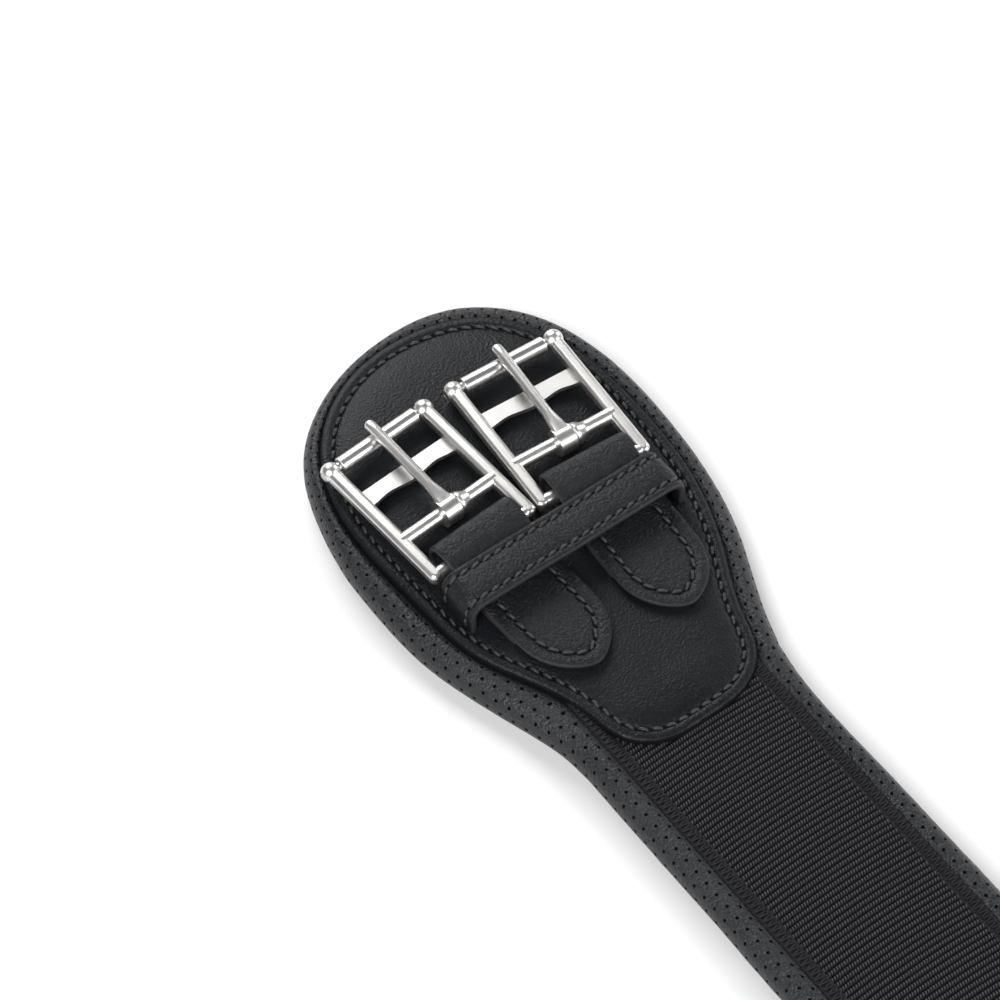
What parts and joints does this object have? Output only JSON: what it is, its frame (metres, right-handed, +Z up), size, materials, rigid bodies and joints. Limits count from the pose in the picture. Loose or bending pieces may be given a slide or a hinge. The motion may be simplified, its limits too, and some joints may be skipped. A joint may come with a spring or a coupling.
{
  "type": "saddle girth",
  "caption": "Padded leather saddle girth with roller buckles at both ends, which straps under a horse to hold the saddle on.",
  "frame": {"origin": "middle of the girth's box, on the surface that it lies on", "axes": "+X along the girth, +Y across it towards the side with the longer taper, +Z up towards the buckle side"},
  "size_m": [0.6684, 0.0958, 0.0213],
  "materials": {
    "perforated_leather": "soft grained black leather with small perforations",
    "lining_leather": "soft matt black leather",
    "smooth_leather": "smooth black leather, satin",
    "strap_leather": "fine-grained black leather, satin",
    "webbing": "ribbed black webbing",
    "foam": "soft closed-cell foam",
    "thread": "waxed black thread",
    "steel": "satin-polished stainless steel"
  },
  "bodies": {
    "girth": {"pad_cover": "perforated_leather", "pad_lining": "lining_leather", "foam_core": "foam", "webbing": "webbing", "end_patch_left": "smooth_leather", "patch_thread_left": "thread", "keeper_left": "strap_leather", "keeper_thread_left": "thread", "chape_left_front": "strap_leather", "chape_thread_left_front": "thread", "chape_left_rear": "strap_leather", "chape_thread_left_rear": "thread", "end_patch_right": "smooth_leather", "patch_thread_right": "thread", "keeper_right": "strap_leather", "keeper_thread_right": "thread", "chape_right_front": "strap_leather", "chape_thread_right_front": "thread", "chape_right_rear": "strap_leather", "chape_thread_right_rear": "thread"},
    "buckle_left_front": {"buckle_frame_left_front": "steel", "roller_pin_left_front": "steel"},
    "roller_left_front": {"roller_left_front": "steel"},
    "tongue_left_front": {"tongue_left_front": "steel"},
    "buckle_left_rear": {"buckle_frame_left_rear": "steel", "roller_pin_left_rear": "steel"},
    "roller_left_rear": {"roller_left_rear": "steel"},
    "tongue_left_rear": {"tongue_left_rear": "steel"},
    "buckle_right_front": {"buckle_frame_right_front": "steel", "roller_pin_right_front": "steel"},
    "roller_right_front": {"roller_right_front": "steel"},
    "tongue_right_front": {"tongue_right_front": "steel"},
    "buckle_right_rear": {"buckle_frame_right_rear": "steel", "roller_pin_right_rear": "steel"},
    "roller_right_rear": {"roller_right_rear": "steel"},
    "tongue_right_rear": {"tongue_right_rear": "steel"}
  },
  "joints": [
    {"name": "buckle_left_front_lift", "type": "hinge", "parent": "girth", "child": "buckle_left_front", "pos_m": [-0.2616, -0.0175, 0.016], "axis": [-0.0628, 0.998, 0], "range_deg": [0, 80]},
    {"name": "tongue_left_front_lift", "type": "hinge", "parent": "buckle_left_front", "child": "tongue_left_front", "pos_m": [-0.27497, -0.01834, 0.016], "axis": [-0.0628, 0.998, 0], "range_deg": [0, 100]},
    {"name": "roller_left_front_spin", "type": "hinge", "parent": "buckle_left_front", "child": "roller_left_front", "pos_m": [-0.30312, -0.02011, 0.016], "axis": [-0.0628, 0.998, 0], "continuous": true},
    {"name": "buckle_left_rear_lift", "type": "hinge", "parent": "girth", "child": "buckle_left_rear", "pos_m": [-0.2616, 0.0175, 0.016], "axis": [0.0628, 0.998, 0], "range_deg": [0, 80]},
    {"name": "tongue_left_rear_lift", "type": "hinge", "parent": "buckle_left_rear", "child": "tongue_left_rear", "pos_m": [-0.27497, 0.01834, 0.016], "axis": [0.0628, 0.998, 0], "range_deg": [0, 100]},
    {"name": "roller_left_rear_spin", "type": "hinge", "parent": "buckle_left_rear", "child": "roller_left_rear", "pos_m": [-0.30312, 0.02011, 0.016], "axis": [0.0628, 0.998, 0], "continuous": true},
    {"name": "buckle_right_front_lift", "type": "hinge", "parent": "girth", "child": "buckle_right_front", "pos_m": [0.2616, -0.0175, 0.016], "axis": [-0.0628, -0.998, 0], "range_deg": [0, 80]},
    {"name": "tongue_right_front_lift", "type": "hinge", "parent": "buckle_right_front", "child": "tongue_right_front", "pos_m": [0.27497, -0.01834, 0.016], "axis": [-0.0628, -0.998, 0], "range_deg": [0, 100]},
    {"name": "roller_right_front_spin", "type": "hinge", "parent": "buckle_right_front", "child": "roller_right_front", "pos_m": [0.30312, -0.02011, 0.016], "axis": [-0.0628, -0.998, 0], "continuous": true},
    {"name": "buckle_right_rear_lift", "type": "hinge", "parent": "girth", "child": "buckle_right_rear", "pos_m": [0.2616, 0.0175, 0.016], "axis": [0.0628, -0.998, 0], "range_deg": [0, 80]},
    {"name": "tongue_right_rear_lift", "type": "hinge", "parent": "buckle_right_rear", "child": "tongue_right_rear", "pos_m": [0.27497, 0.01834, 0.016], "axis": [0.0628, -0.998, 0], "range_deg": [0, 100]},
    {"name": "roller_right_rear_spin", "type": "hinge", "parent": "buckle_right_rear", "child": "roller_right_rear", "pos_m": [0.30312, 0.02011, 0.016], "axis": [0.0628, -0.998, 0], "continuous": true}
  ]
}
